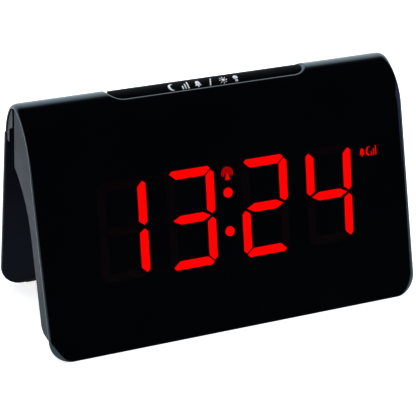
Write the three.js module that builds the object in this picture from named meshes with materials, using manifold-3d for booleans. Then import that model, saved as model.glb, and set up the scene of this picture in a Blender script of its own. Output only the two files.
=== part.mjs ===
// A tent-shaped radio alarm clock: a glossy skin that is folded over the top, a housing
// behind it, a thin rear leg, a long snooze bar in the fold and a four-digit light display.
// Millimetres, +Z up, front towards -Y, origin under the middle of the clock's footprint.
import * as THREE from 'three';
import { mergeVertices } from 'three/addons/utils/BufferGeometryUtils.js';
import Module from 'manifold-3d';

const wasm = await Module();
wasm.setup();

const degrees = Math.PI / 180;

// Driving dimensions ------------------------------------------------------------------
const clockWidth = 143;
const frontTilt = 19.4 * degrees;      // lean of the front face from upright
const frontStraight = 70.9;            // flat length of the front face
const foldArcs = [                     // the fold over the top, as arcs to a heading
  { radius: 21.4, heading: 17 * degrees },
  { radius: 8, heading: -52 * degrees },
];
const foldTailRadius = 20.8;           // last arc, which turns down into the leg
const legSplay = 5.7 * degrees;        // lean of the rear leg from upright
const arcStep = 7 * degrees;
const cornerRadius = 8;                // bottom corners of the front and of the leg
const roundSteps = 16;
const cornerSteps = 8;
const capSteps = 3;

const skinWall = 1.6;
const housingWall = 1.6;
const sideWall = 1.8;
const sideInset = 0.4;                 // housing and leg root sit this far inside the skin
const fitGap = 0.3;                    // clearance between fitted pieces
const housingDepth = 9.2;              // thin lower part, from the front face to its rear
const housingBottom = 7;
const housingBevel = 1.6;
const flareUnderTray = 15.8;           // rear wall swings out here, to make room for the drawer
const flareRadius = 33;
const rearWallToBar = 0.3;             // upright rear wall, in front of the bar's middle

const legThickness = 2.2;
const legStep = 0.5;                   // leg stands this far proud of the fold's end
const legTopDrop = 0.766;              // top of the leg's plate, under the fold's end
const legLift = 0.3;                   // the leg's own edge, held off the table by its feet
const rootGap = 2;                     // roots sit behind and beside the bar's well by this
const rootDrop = 9.58;                 // underside of the roots, below the fold's top
const rootScrewRise = 1.6;
const rootScrewInset = 4;
const footSize = { x: 12, y: 1.6, z: 1.5 };
const footFromSide = 15.5;

const barLength = 74;                  // snooze bar
const barWidth = 9;
const barBehindTop = 1.383;            // middle of the bar, behind the fold's top
const barDrop = 0.3;                   // bar's top lies this far under the fold's line
const barCrownRadius = 7.5;
const barCrownDrop = 0.381;            // crown, below the fold's top
const barHeight = 8.4;
const barWall = 1.5;
const barFlange = 1.2;
const barFlangeThickness = 1;
const barTravel = 0.8;
const wellSideRoom = 7;              // room in the well, beside, under and behind the bar
const wellUnderRoom = 4.4;
const wellRearRoom = 6;
const guideWall = 1.5;
const guideHeight = 3.6;

const digitHeight = 35;
const digitWidth = 18;
const digitStroke = 3.2;
const digitGap = 0.35;
const digitSlant = 2.4 * degrees;
const digitMiddle = 42.7;              // height of the digits' middle up the front
const digitPitch = 25.7;
const colonPitch = 28.4;
const displayShift = -0.9;
const colonDotRadius = 1.75;
const colonDotPitch = 13.8;
const frameDepth = 3.5;
const boardThickness = 1;
const mainBoardThickness = 1.2;

const buttonPitch = 12;
const buttonStart = -8;
const buttonHeight = 17;
const buttonSize = { x: 7.5, z: 4.2 };
const buttonProud = 0.9;
const buttonTravel = 0.4;
const sliderTravel = 4;

const cellRadius = 10;
const cellThickness = 3.2;
const trayBorder = 1.2;                // drawer's frame above and below the cell
const trayEnds = 4.3;
const trayThickness = 4;
const trayAboveFold = 10.3;             // drawer's top over the flat's end
const trayFront = 7.2;
const trayLip = 0.4;
const trayGrip = 1;
const trayGripHalf = 4;
const railThickness = 1.2;
const contactThickness = 0.3;

const jackBore = 3.1;
const jackWalls = { x: 1.4, y: 0.65 };
const jackLength = 12;
const jackPin = 1;
const jackFromWall = 9.9;
const jackUnderWell = 10.4;
const screwShank = 0.8;
const screwHead = 2;
const screwHeadHeight = 1.4;
const screwFromSide = 4.9;
const legScrewFromSide = 5.5;
const legScrewHeadHeight = 1;
const legScrewGrip = 3.2;              // length of a leg screw inside the root

// Finishes ------------------------------------------------------------------------------
const finish = (color, roughness, metalness = 0) =>
  new THREE.MeshStandardMaterial({ color, roughness, metalness });
const glossBlack = finish(0x05060a, 0.12);
const satinBlack = finish(0x14171c, 0.45);
const greyBlack = finish(0x2a3036, 0.4);
const mattBlack = finish(0x0b0b0d, 0.6);
const rubberBlack = finish(0x101011, 0.9);
const boardGreen = finish(0x1c4a2c, 0.55);
const frameWhite = finish(0xd8d8d4, 0.6);
const digitRed = finish(0xd01810, 0.4);
const steel = finish(0x9a9da0, 0.35, 1);
const ferrite = finish(0x2b2a2c, 0.7);
const copper = finish(0xb06a38, 0.35, 1);
const brass = finish(0xb09048, 0.35, 1);

// Solids -----------------------------------------------------------------------------------
function solid(geometry) {
  const plain = geometry.clone();
  plain.deleteAttribute('normal');
  plain.deleteAttribute('uv');
  const merged = mergeVertices(plain, 1e-4);
  return new wasm.Manifold(new wasm.Mesh({
    numProp: 3,
    vertProperties: new Float32Array(merged.attributes.position.array),
    triVerts: new Uint32Array(merged.index.array),
  }));
}

function surface(body) {
  const mesh = body.getMesh();
  const geometry = new THREE.BufferGeometry();
  geometry.setAttribute('position', new THREE.BufferAttribute(mesh.vertProperties, 3));
  geometry.setIndex(new THREE.BufferAttribute(mesh.triVerts, 1));
  geometry.computeVertexNormals();
  return geometry;
}

// a block from one corner to the other
function block(low, high) {
  const size = high.map((value, axis) => value - low[axis]);
  const geometry = new THREE.BoxGeometry(...size);
  geometry.translate(...low.map((value, axis) => value + size[axis] / 2));
  return solid(geometry);
}

// a side outline (depth, height) drawn out along X
function acrossX(points, from, to) {
  const geometry = new THREE.ExtrudeGeometry(new THREE.Shape(points), {
    depth: to - from, bevelEnabled: false,
  });
  const axes = new THREE.Matrix4().makeBasis(
    new THREE.Vector3(0, 1, 0), new THREE.Vector3(0, 0, 1), new THREE.Vector3(1, 0, 0));
  geometry.applyMatrix4(axes);
  geometry.translate(from, 0, 0);
  return solid(geometry);
}

// a front outline (x, height) drawn out along Y
function alongY(shape, from, to, curveSegments = capSteps) {
  const geometry = new THREE.ExtrudeGeometry(shape, {
    depth: to - from, bevelEnabled: false, curveSegments,
  });
  geometry.rotateX(Math.PI / 2);
  geometry.translate(0, to, 0);
  return solid(geometry);
}

// a plan outline (x, depth) drawn out along Z
function alongZ(shape, from, to) {
  const geometry = new THREE.ExtrudeGeometry(shape, {
    depth: to - from, bevelEnabled: false, curveSegments: cornerSteps,
  });
  geometry.translate(0, 0, from);
  return solid(geometry);
}

// a rod between two values of one axis, centred on the other two
function rod(axis, radius, from, to, centre, steps = roundSteps) {
  const geometry = new THREE.CylinderGeometry(radius, radius, to - from, steps);
  if (axis === 'x') geometry.rotateZ(Math.PI / 2);
  if (axis === 'z') geometry.rotateX(Math.PI / 2);
  const middle = (from + to) / 2;
  const place = { x: [middle, ...centre], y: [centre[0], middle, centre[1]], z: [...centre, middle] };
  geometry.translate(...place[axis]);
  return solid(geometry);
}

function roundedRectangle(left, bottom, right, top, radius) {
  const shape = new THREE.Shape();
  shape.moveTo(left + radius, bottom);
  shape.lineTo(right - radius, bottom);
  shape.absarc(right - radius, bottom + radius, radius, -Math.PI / 2, 0);
  shape.lineTo(right, top - radius);
  shape.absarc(right - radius, top - radius, radius, 0, Math.PI / 2);
  shape.lineTo(left + radius, top);
  shape.absarc(left + radius, top - radius, radius, Math.PI / 2, Math.PI);
  shape.lineTo(left, bottom + radius);
  shape.absarc(left + radius, bottom + radius, radius, Math.PI, 1.5 * Math.PI);
  return shape;
}

// Side profile ---------------------------------------------------------------------------------
const frontHeading = Math.PI / 2 - frontTilt;
const legHeading = -(Math.PI / 2 - legSplay);
const towards = (heading) => new THREE.Vector2(Math.cos(heading), Math.sin(heading));
const inwards = (heading) => new THREE.Vector2(Math.sin(heading), -Math.cos(heading));

// points of an arc of travel, kept a distance inside the outer line
function arcPoints(start, heading, endHeading, radius, inset) {
  const centre = start.clone().addScaledVector(inwards(heading), radius);
  const steps = Math.ceil(Math.abs(endHeading - heading) / arcStep);
  const points = [];
  for (let step = 1; step <= steps; step += 1) {
    const angle = heading + (endHeading - heading) * step / steps;
    points.push(centre.clone().addScaledVector(inwards(angle), inset - radius));
  }
  return points;
}

// the skin's line from the front foot over the fold to its end at the rear
function skinPath(inset) {
  const points = [new THREE.Vector2(inset / Math.sin(frontHeading), 0)];
  let start = towards(frontHeading).multiplyScalar(frontStraight);
  let heading = frontHeading;
  points.push(start.clone().addScaledVector(inwards(heading), inset));
  for (const arc of [...foldArcs, { radius: foldTailRadius, heading: legHeading }]) {
    points.push(...arcPoints(start, heading, arc.heading, arc.radius, inset));
    start = arcPoints(start, heading, arc.heading, arc.radius, 0).at(-1);
    heading = arc.heading;
  }
  return points;
}

// where the fold is level, in the arc that turns it over
function highestPoint() {
  let start = towards(frontHeading).multiplyScalar(frontStraight);
  let heading = frontHeading;
  for (const arc of foldArcs) {
    if (arc.heading < 0) {
      const centre = start.clone().addScaledVector(inwards(heading), arc.radius);
      return centre.add(new THREE.Vector2(0, arc.radius));
    }
    start = arcPoints(start, heading, arc.heading, arc.radius, 0).at(-1);
    heading = arc.heading;
  }
  return start;
}

const foldEnd = skinPath(0).at(-1);
const legFace = (height, inset) =>
  foldEnd.x + (foldEnd.y - height) * Math.tan(legSplay) + (legStep - inset) / Math.cos(legSplay);
const clockDepth = legFace(legLift, 0);
const foldTop = highestPoint();

// Places that follow the fold and the bar ---------------------------------------------------------
const barDepth = foldTop.x + barBehindTop;
const barFront = barDepth - barWidth / 2;
const barRear = barDepth + barWidth / 2;
const barCrownHeight = foldTop.y - barCrownDrop;
const barSkirtBottom = barCrownHeight - barHeight;
const wellHalfWidth = barLength / 2 + wellSideRoom;
const wellFloor = barSkirtBottom - wellUnderRoom;
const wellRearDepth = barDepth + wellRearRoom;
const rearWallDepth = barDepth - rearWallToBar;
const rootFront = rearWallDepth + rootGap;
const rootInnerEnd = wellHalfWidth + rootGap;
const rootUnderside = foldTop.y - rootDrop;
const legTop = foldEnd.y - legTopDrop;
const legScrewHeight = rootUnderside + rootScrewRise;
const legScrewEnd = rootFront + legScrewGrip;
const legScrewPlaces = [-1, 1].flatMap((side) => [
  side * (clockWidth / 2 - legScrewFromSide), side * (rootInnerEnd + rootScrewInset),
]).sort((low, high) => low - high);
const trayHeight = 2 * (cellRadius + trayBorder);
const trayLength = 2 * cellRadius + trayEnds;
const trayLow = frontStraight + trayAboveFold - trayHeight;
const flareStart = trayLow - flareUnderTray;
const guideHalf = barLength / 2 + fitGap + guideWall;
const skyHeight = 100;
const farFront = -20;

// everything that lies under the skin, a distance inside its outer face
function underSkin(inset, from, to) {
  const path = skinPath(inset);
  return acrossX([...path, new THREE.Vector2(path.at(-1).x, 0)], from, to);
}

// place up the front (up) and behind its face (behind), as depth and height
const frontPlace = (up, behind) => new THREE.Vector2(
  up * Math.sin(frontTilt) + behind * Math.cos(frontTilt),
  up * Math.cos(frontTilt) - behind * Math.sin(frontTilt));

// the housing's rear line, a distance inside its outer face, up to its upright wall
function housingLine(inset) {
  const floor = housingBottom + inset;
  const rearAt = (height) =>
    (housingDepth - inset) / Math.cos(frontTilt) + height * Math.tan(frontTilt);
  const start = frontPlace(flareStart, housingDepth);
  const centre = start.clone().addScaledVector(inwards(frontHeading), flareRadius);
  const wall = rearWallDepth - inset;
  const endHeading = Math.asin((centre.x - wall) / (flareRadius + inset));
  return [
    new THREE.Vector2(rearAt(floor) - housingBevel, floor),
    new THREE.Vector2(rearAt(floor + housingBevel), floor + housingBevel),
    frontPlace(flareStart, housingDepth - inset),
    ...arcPoints(start, frontHeading, endHeading, flareRadius, -inset),
    new THREE.Vector2(wall, skyHeight),
  ];
}

// all that lies in front of that line
function beforeRear(inset, from, to) {
  const line = housingLine(inset);
  return acrossX([
    new THREE.Vector2(farFront, line[0].y),
    ...line,
    new THREE.Vector2(farFront, skyHeight),
  ], from, to);
}

// Group that carries everything laid out on the front face -----------------------------------
const clock = new THREE.Group();
clock.position.y = -clockDepth / 2;
const front = new THREE.Group();
front.rotation.x = -frontTilt;
clock.add(front);

function add(group, name, material, body) {
  const mesh = new THREE.Mesh(surface(body), material);
  mesh.name = name;
  group.add(mesh);
  return mesh;
}

// Case screws: bosses on the skin, cups in the housing -------------------------------------------
const screwSide = clockWidth / 2 - screwFromSide;
const [screwLow, screwHigh] = [15, 35];
const screwPlaces = {
  bottom_left: [-screwSide, screwLow],
  bottom_right: [screwSide, screwLow],
  top_left: [-screwSide, screwHigh],
  top_right: [screwSide, screwHigh],
};
const bossRadius = 2.2;
const bossEnd = 5;
const cupRadius = 3;
const cupFront = bossEnd + fitGap;
const headSeat = housingDepth - screwHeadHeight - 2 * fitGap;
const places = Object.values(screwPlaces);

// a body laid out on the front face, turned into the clock's own frame
const onFront = (body) => body.rotate([-frontTilt / degrees, 0, 0]);

// Skin ---------------------------------------------------------------------------------------------
function frontOutline() {
  const half = clockWidth / 2;
  const shape = new THREE.Shape();
  shape.moveTo(-half + cornerRadius, 0);
  shape.lineTo(half - cornerRadius, 0);
  shape.absarc(half - cornerRadius, cornerRadius, cornerRadius, -Math.PI / 2, 0);
  shape.lineTo(half, 2 * skyHeight);
  shape.lineTo(-half, 2 * skyHeight);
  shape.lineTo(-half, cornerRadius);
  shape.absarc(-half + cornerRadius, cornerRadius, cornerRadius, Math.PI, 1.5 * Math.PI);
  return shape;
}

function barOutline(grow) {
  const half = barLength / 2 + grow;
  const radius = barWidth / 2 + grow;
  return roundedRectangle(-half, barDepth - radius, half, barDepth + radius, radius - 0.01);
}

function frontSkin() {
  const half = clockWidth / 2;
  const outline = [...skinPath(0), ...skinPath(skinWall).reverse()];
  const trim = onFront(alongY(frontOutline(), farFront, skyHeight, cornerSteps));
  let body = acrossX(outline, -half, half).intersect(trim);
  for (const [x, up] of places) {
    const boss = rod('y', bossRadius, skinWall / 2, bossEnd, [x, up]);
    const pilot = rod('y', screwShank + fitGap, skinWall + 2 * fitGap, bossEnd + 1, [x, up]);
    body = body.add(onFront(boss)).subtract(onFront(pilot));
  }
  return body.subtract(alongZ(barOutline(fitGap), wellFloor, skyHeight));
}
add(clock, 'front_skin', glossBlack, frontSkin());

// Housing ------------------------------------------------------------------------------------------
const housingHalf = clockWidth / 2 - sideInset;
const underneath = skinWall + fitGap;
const wallFront = housingDepth - housingWall;

const buttonNames = ['mode', 'alarm_one', 'alarm_two', 'minus', 'plus'];
const capCorner = 1.2;

function buttonX(index) {
  return buttonStart + index * buttonPitch;
}

function capShape(x, up, width, height, grow) {
  const [halfX, halfZ] = [width / 2 + grow, height / 2 + grow];
  return roundedRectangle(x - halfX, up - halfZ, x + halfX, up + halfZ, capCorner);
}

const slider = { x: -48, width: 4, height: 3 };
const jackSize = {
  x: 2 * (jackBore + jackWalls.x), y: 2 * (jackBore + jackWalls.y), z: jackLength,
};
const jack = {
  x: -52, depth: rearWallDepth - jackFromWall, bottom: wellFloor - jackUnderWell,
};

function rearHousing() {
  const cavityHalf = housingHalf - sideWall;
  const wellHalf = wellHalfWidth - housingWall;
  let shell = beforeRear(0, -housingHalf, housingHalf);
  const well = block([-wellHalfWidth, rearWallDepth - housingWall, wellFloor],
    [wellHalfWidth, skyHeight, skyHeight]);
  shell = shell.add(well).intersect(underSkin(underneath, -housingHalf, housingHalf));
  shell = shell.subtract(beforeRear(housingWall, -cavityHalf, cavityHalf));
  shell = shell.subtract(block(
    [-wellHalf, rearWallDepth - 2 * housingWall, wellFloor + housingWall],
    [wellHalf, wellRearDepth, skyHeight]));
  for (const [x, up] of places) {
    const cup = rod('y', cupRadius, cupFront, housingDepth - fitGap, [x, up]);
    const hole = rod('y', screwShank + fitGap, 0, housingDepth + 1, [x, up]);
    const seat = rod('y', screwHead + fitGap, headSeat, housingDepth + 1, [x, up]);
    shell = shell.add(onFront(cup)).subtract(onFront(hole)).subtract(onFront(seat));
  }
  buttonNames.forEach((name, index) => {
    const hole = capShape(buttonX(index), buttonHeight, buttonSize.x, buttonSize.z, fitGap);
    shell = shell.subtract(onFront(alongY(hole, wallFront - 1, housingDepth + 1)));
  });
  const slot = capShape(slider.x + sliderTravel / 2, buttonHeight,
    slider.width + sliderTravel, slider.height, fitGap);
  shell = shell.subtract(onFront(alongY(slot, wallFront - 1, housingDepth + 1)));
  shell = shell.subtract(onFront(block(
    [cavityHalf - 1, trayFront - fitGap, trayLow - fitGap],
    [housingHalf + 1, trayFront + trayThickness + fitGap, trayLow + trayHeight + fitGap])));
  shell = shell.subtract(block(
    [jack.x - jackSize.x / 2 - fitGap, jack.depth - fitGap, jack.bottom - jackSize.z],
    [jack.x + jackSize.x / 2 + fitGap, jack.depth + jackSize.y + fitGap,
      jack.bottom + housingWall]));
  for (const x of legScrewPlaces) {
    shell = shell.subtract(rod('y', screwShank + fitGap, rearWallDepth - 2 * housingWall,
      rearWallDepth + 1, [x, legScrewHeight]));
  }
  return shell;
}
add(clock, 'rear_housing', greyBlack, rearHousing());

// Rear leg -----------------------------------------------------------------------------------------
function legOutline() {
  const half = clockWidth / 2;
  return roundedRectangle(-half, legLift, half, 2 * skyHeight, cornerRadius);
}

const footOffset = clockWidth / 2 - footFromSide;
const footPlaces = { left: -footOffset, right: footOffset };
const footDepth = legFace(legLift, legThickness / 2);

function rearLeg() {
  const half = clockWidth / 2;
  const plate = acrossX([
    new THREE.Vector2(legFace(0, 0), 0),
    new THREE.Vector2(legFace(legTop, 0), legTop),
    new THREE.Vector2(legFace(legTop, legThickness), legTop),
    new THREE.Vector2(legFace(0, legThickness), 0),
  ], -half, half).intersect(alongY(legOutline(), 0, skyHeight, cornerSteps));
  const neckDepth = foldEnd.x - underneath - legThickness;
  const rootLine = [
    new THREE.Vector2(rootFront, skyHeight),
    new THREE.Vector2(rootFront, rootUnderside),
    new THREE.Vector2(neckDepth, rootUnderside - legThickness),
    new THREE.Vector2(neckDepth, legTop - legThickness),
    new THREE.Vector2(legFace(legTop, legThickness / 2), legTop - legThickness),
    new THREE.Vector2(legFace(legTop, legThickness / 2), legTop),
    new THREE.Vector2(foldEnd.x - underneath, legTop),
    new THREE.Vector2(foldEnd.x - underneath, skyHeight),
  ];
  let body = plate;
  for (const side of [-1, 1]) {
    const ends = [side * rootInnerEnd, side * housingHalf].sort((low, high) => low - high);
    const upper = acrossX(rootLine, ...ends).intersect(underSkin(underneath, ...ends));
    const neck = acrossX(rootLine, ...ends).intersect(
      block([ends[0], 0, 0], [ends[1], skyHeight, legTop]));
    body = body.add(upper).add(neck);
  }
  for (const x of Object.values(footPlaces)) {
    const reach = footSize.x / 2 + fitGap;
    body = body.subtract(block([x - reach, footDepth - legThickness, 0],
      [x + reach, footDepth + legThickness, footSize.z + fitGap]));
  }
  for (const x of legScrewPlaces) {
    body = body.subtract(rod('y', screwShank + fitGap, rootFront - 1, legScrewEnd + fitGap,
      [x, legScrewHeight]));
  }
  return body;
}
add(clock, 'rear_leg', satinBlack, rearLeg());

for (const [side, x] of Object.entries(footPlaces)) {
  add(clock, `leg_foot_${side}`, rubberBlack, block(
    [x - footSize.x / 2, footDepth - footSize.y / 2, 0],
    [x + footSize.x / 2, footDepth + footSize.y / 2, footSize.z]));
}

legScrewPlaces.forEach((x, index) => {
  const seat = rearWallDepth - housingWall - fitGap;
  const head = rod('y', screwHead, seat - legScrewHeadHeight, seat, [x, legScrewHeight]);
  const shank = rod('y', screwShank, seat - fitGap, legScrewEnd, [x, legScrewHeight]);
  add(clock, `leg_screw_${index + 1}`, steel, head.add(shank));
});

for (const [place, [x, up]] of Object.entries(screwPlaces)) {
  const seat = headSeat + fitGap;
  const head = rod('y', screwHead, seat, seat + screwHeadHeight, [x, up]);
  const shank = rod('y', screwShank, skinWall + 3 * fitGap, seat + fitGap, [x, up]);
  const slot = block([x - screwHead, seat + screwHeadHeight / 2, up - fitGap],
    [x + screwHead, seat + 2 * screwHeadHeight, up + fitGap]);
  add(front, `case_screw_${place}`, steel, head.add(shank).subtract(slot));
}

// Snooze bar ----------------------------------------------------------------------------------------
const switchX = 20;
const switchSize = 5;
const boardBottom = wellFloor + housingWall + fitGap;
const snoozeSwitchBottom = boardBottom + boardThickness + fitGap;
const snoozeSwitchHeight = 1.4;
const plungerTop = snoozeSwitchBottom + 1.8;
const plungerRadius = 1.5;

// the bar's own body, or the hollow inside it when a wall is given
function barBody(wall) {
  const radius = barCrownRadius - wall;
  const centre = barCrownHeight - barCrownRadius;
  const halfWidth = barWidth / 2 - wall;
  const edge = Math.acos(halfWidth / radius);
  const points = [new THREE.Vector2(barDepth + halfWidth, 0)];
  const steps = 12;
  for (let step = 0; step <= steps; step += 1) {
    const angle = edge + (Math.PI - 2 * edge) * step / steps;
    points.push(new THREE.Vector2(barDepth + radius * Math.cos(angle),
      centre + radius * Math.sin(angle)));
  }
  points.push(new THREE.Vector2(barDepth - halfWidth, 0));
  const half = barLength / 2 - wall;
  return acrossX(points, -half, half)
    .intersect(underSkin(barDrop + wall, -half, half))
    .intersect(alongZ(barOutline(-wall), wall ? 0 : barSkirtBottom, skyHeight));
}

function snoozeBar() {
  const flangeTop = barSkirtBottom + barFlangeThickness;
  const flange = alongZ(barOutline(barFlange), barSkirtBottom, flangeTop)
    .intersect(block([-skyHeight, 0, 0], [skyHeight, barRear, skyHeight]));
  let body = barBody(0).add(flange).subtract(barBody(barWall));
  const postBottom = plungerTop + barTravel + fitGap;
  for (const x of [-switchX, switchX]) {
    body = body.add(rod('z', plungerRadius, postBottom, barCrownHeight - barWall, [x, barDepth]));
  }
  return body;
}
add(clock, 'snooze_bar', mattBlack, snoozeBar());

function snoozeGuide() {
  const bottom = barSkirtBottom + barFlangeThickness + fitGap;
  const top = bottom + guideHeight;
  const outer = alongZ(barOutline(fitGap + guideWall), bottom, top);
  const reach = barLength;
  return outer.subtract(alongZ(barOutline(fitGap), 0, skyHeight))
    .intersect(underSkin(underneath, -reach, reach))
    .intersect(block([-reach, 0, 0], [reach, barRear - guideWall, skyHeight]));
}
add(clock, 'snooze_guide', satinBlack, snoozeGuide());

const snoozeBoardHalf = 30;
add(clock, 'snooze_board', boardGreen, block(
  [-snoozeBoardHalf, barFront - 1, boardBottom],
  [snoozeBoardHalf, barRear - 1, boardBottom + boardThickness]));

for (const [side, x] of [['left', -switchX], ['right', switchX]]) {
  const half = switchSize / 2;
  const bodyTop = snoozeSwitchBottom + snoozeSwitchHeight;
  const body = block([x - half, barDepth - half, snoozeSwitchBottom],
    [x + half, barDepth + half, bodyTop]);
  add(clock, `snooze_switch_${side}`, satinBlack,
    body.add(rod('z', plungerRadius, bodyTop - 0.5, plungerTop, [x, barDepth], 16)));
}

// Display -------------------------------------------------------------------------------------------
const frameFront = skinWall + fitGap;
const frameRear = frameFront + frameDepth;
const windowMargin = 1;
const digitPlaces = {
  hour_tens: displayShift - colonPitch / 2 - digitPitch,
  hour_ones: displayShift - colonPitch / 2,
  minute_tens: displayShift + colonPitch / 2,
  minute_ones: displayShift + colonPitch / 2 + digitPitch,
};
const digitLow = digitMiddle - digitHeight / 2;
const digitHigh = digitMiddle + digitHeight / 2;
const colonHalf = 2.9;
const colonWindow = {
  left: displayShift - colonHalf, right: displayShift + colonHalf, low: 32.5, high: digitHigh,
};
const iconLeft = digitPlaces.minute_ones + digitWidth / 2 + 3.25;
const iconWindow = { left: iconLeft, right: iconLeft + 9, low: 52.8, high: digitHigh };
const displayBorder = { left: 2.75, right: 1.25, low: 2, high: 2 };
const displayArea = {
  left: digitPlaces.hour_tens - digitWidth / 2 - displayBorder.left,
  right: iconWindow.right + displayBorder.right,
  low: digitLow - displayBorder.low,
  high: digitHigh + displayBorder.high,
};
const insertSplit = frameFront + 2.3;

// the seven mitred strokes of one digit, each as four corners about the digit's middle
function strokeOutlines() {
  const [w, h, s, g] = [digitWidth / 2, digitHeight / 2, digitStroke, digitGap];
  const outlines = [];
  for (const way of [-1, 1]) {
    outlines.push([[-w + g, way * h], [w - g, way * h],
      [w - s - g, way * (h - s)], [-w + s + g, way * (h - s)]]);
    for (const side of [-1, 1]) {
      outlines.push([[side * w, way * (h - g)], [side * w, way * g],
        [side * (w - s), way * (g + s / 2)], [side * (w - s), way * (h - s - g)]]);
    }
  }
  outlines.push([[-w + s / 2, 0], [-w + s, s / 2], [w - s, s / 2],
    [w - s / 2, 0], [w - s, -s / 2], [-w + s, -s / 2]]);
  return outlines;
}

const lean = (x, up) => new THREE.Vector2(x + up * Math.tan(digitSlant), digitMiddle + up);

function windowBlock(left, right, low, high, from, to) {
  return block([left, from, low], [right, to, high]);
}

function digitInsert(x) {
  const half = digitWidth / 2 + windowMargin - fitGap;
  const reach = windowMargin - fitGap;
  let body = windowBlock(x - half, x + half, digitLow - reach, digitHigh + reach,
    insertSplit, frameRear);
  for (const outline of strokeOutlines()) {
    const points = outline.map(([across, up]) => lean(x + across, up));
    if (THREE.ShapeUtils.isClockWise(points)) points.reverse();
    body = body.add(alongY(new THREE.Shape(points), frameFront + fitGap, insertSplit + 0.1));
  }
  return body;
}
for (const [place, x] of Object.entries(digitPlaces)) {
  add(front, `digit_${place}`, digitRed, digitInsert(x));
}

function plainInsert(area) {
  return windowBlock(area.left + fitGap, area.right - fitGap, area.low + fitGap,
    area.high - fitGap, insertSplit, frameRear);
}

function colonInsert() {
  let body = plainInsert(colonWindow);
  for (const way of [-1, 1]) {
    const centre = lean(displayShift, way * colonDotPitch / 2);
    body = body.add(rod('y', colonDotRadius, frameFront + fitGap, insertSplit + 0.1,
      [centre.x, centre.y], 20));
  }
  return body;
}
add(front, 'colon_insert', digitRed, colonInsert());
add(front, 'indicator_insert', digitRed, plainInsert(iconWindow));

function displayFrame() {
  let body = windowBlock(displayArea.left, displayArea.right, displayArea.low,
    displayArea.high, frameFront, frameRear);
  const [from, to] = [0, frameRear + 1];
  for (const x of Object.values(digitPlaces)) {
    const half = digitWidth / 2 + windowMargin;
    body = body.subtract(windowBlock(x - half, x + half, digitLow - windowMargin,
      digitHigh + windowMargin, from, to));
  }
  for (const area of [colonWindow, iconWindow]) {
    body = body.subtract(windowBlock(area.left, area.right, area.low, area.high, from, to));
  }
  return body;
}
add(front, 'display_frame', frameWhite, displayFrame());
add(front, 'display_board', boardGreen, windowBlock(displayArea.left, displayArea.right,
  displayArea.low, displayArea.high, frameRear + fitGap, frameRear + fitGap + boardThickness));

// Main board with its parts and the setting buttons -----------------------------------------------------
const boardFromSide = 10.5;
const mainBoard = {
  half: clockWidth / 2 - boardFromSide, low: 10.9, high: displayArea.low - fitGap - 0.1,
  front: 2.6,
};
const chip = { left: -31, low: 12, size: 10, thickness: 1.6 };
const crystal = { x: -16.2, low: 13, high: 21, radius: 1.4 };
const boardFace = mainBoard.front + mainBoardThickness + fitGap;
add(front, 'main_board', boardGreen, block(
  [-mainBoard.half, mainBoard.front, mainBoard.low],
  [mainBoard.half, mainBoard.front + mainBoardThickness, mainBoard.high]));
add(front, 'controller_chip', mattBlack, block(
  [chip.left, boardFace, chip.low],
  [chip.left + chip.size, boardFace + chip.thickness, chip.low + chip.size]));
add(front, 'clock_crystal', steel,
  rod('z', crystal.radius, crystal.low, crystal.high,
    [crystal.x, boardFace + crystal.radius], 12));

const capFlange = 0.8;
const capFlangeThickness = 0.7;
const keySwitchHalf = 2.6;
const flangeRear = wallFront - fitGap;
const flangeFront = flangeRear - capFlangeThickness;
const switchHeight = flangeFront - buttonTravel - fitGap - boardFace;
buttonNames.forEach((name, index) => {
  const x = buttonX(index);
  const cap = alongY(capShape(x, buttonHeight, buttonSize.x, buttonSize.z, 0),
    flangeFront, housingDepth + buttonProud);
  const flange = alongY(capShape(x, buttonHeight, buttonSize.x, buttonSize.z, capFlange),
    flangeFront, flangeRear);
  add(front, `${name}_button`, mattBlack, cap.add(flange));
  const [half, shoulder] = [keySwitchHalf, boardFace + switchHeight - 0.5];
  const base = block([x - half, boardFace, buttonHeight - half],
    [x + half, shoulder, buttonHeight + half]);
  add(front, `${name}_switch`, satinBlack, base.add(rod('y', 1.2, shoulder - 0.4,
    boardFace + switchHeight, [x, buttonHeight], 12)));
});

const knob = alongY(capShape(slider.x, buttonHeight, slider.width, slider.height, 0),
  flangeFront, housingDepth + buttonProud);
const knobFlange = alongY(capShape(slider.x, buttonHeight,
  slider.width + 2 * sliderTravel, slider.height, 1), flangeFront, flangeRear);
add(front, 'alarm_slider', mattBlack, knob.add(knobFlange));
add(front, 'alarm_slide_switch', steel, block(
  [slider.x - 4, boardFace, buttonHeight - 2],
  [slider.x + 4 + sliderTravel, flangeFront - fitGap, buttonHeight + 2]));

// Backup cell in its drawer ---------------------------------------------------------------------------
const trayRear = trayFront + trayThickness;
const trayInner = housingHalf - trayLength;
const cellCentre = [trayInner + trayHeight / 2 + trayLip, trayLow + trayHeight / 2];

function cellTray() {
  const middle = cellCentre[1];
  return block([trayInner, trayFront, trayLow], [housingHalf, trayRear, trayLow + trayHeight])
    .subtract(rod('y', cellRadius + fitGap, trayFront + trayLip, trayRear + 1, cellCentre, 40))
    .subtract(rod('y', cellRadius - 1.5, 0, trayRear, cellCentre, 40))
    .subtract(block([housingHalf - trayGrip, trayFront + trayGrip, middle - trayGripHalf],
      [housingHalf + trayGrip, trayRear - trayGrip, middle + trayGripHalf]));
}
add(front, 'cell_tray', mattBlack, cellTray());
add(front, 'coin_cell', steel, rod('y', cellRadius, trayRear - fitGap / 3 - cellThickness,
  trayRear - fitGap / 3, cellCentre, 40));
const railStart = Math.max(trayInner, guideHalf + fitGap);   // rails stay clear of the bar's guide
const railEnd = housingHalf - sideWall - fitGap;
const trayHigh = trayLow + trayHeight;
add(front, 'cell_rail_top', satinBlack, block(
  [railStart, trayFront, trayHigh + fitGap],
  [railEnd, trayRear, trayHigh + fitGap + railThickness]));
add(front, 'cell_rail_bottom', satinBlack, block(
  [railStart, trayFront, trayLow - fitGap - railThickness],
  [railEnd, trayRear - sideWall, trayLow - fitGap]));
const contactHalf = 6;
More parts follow.
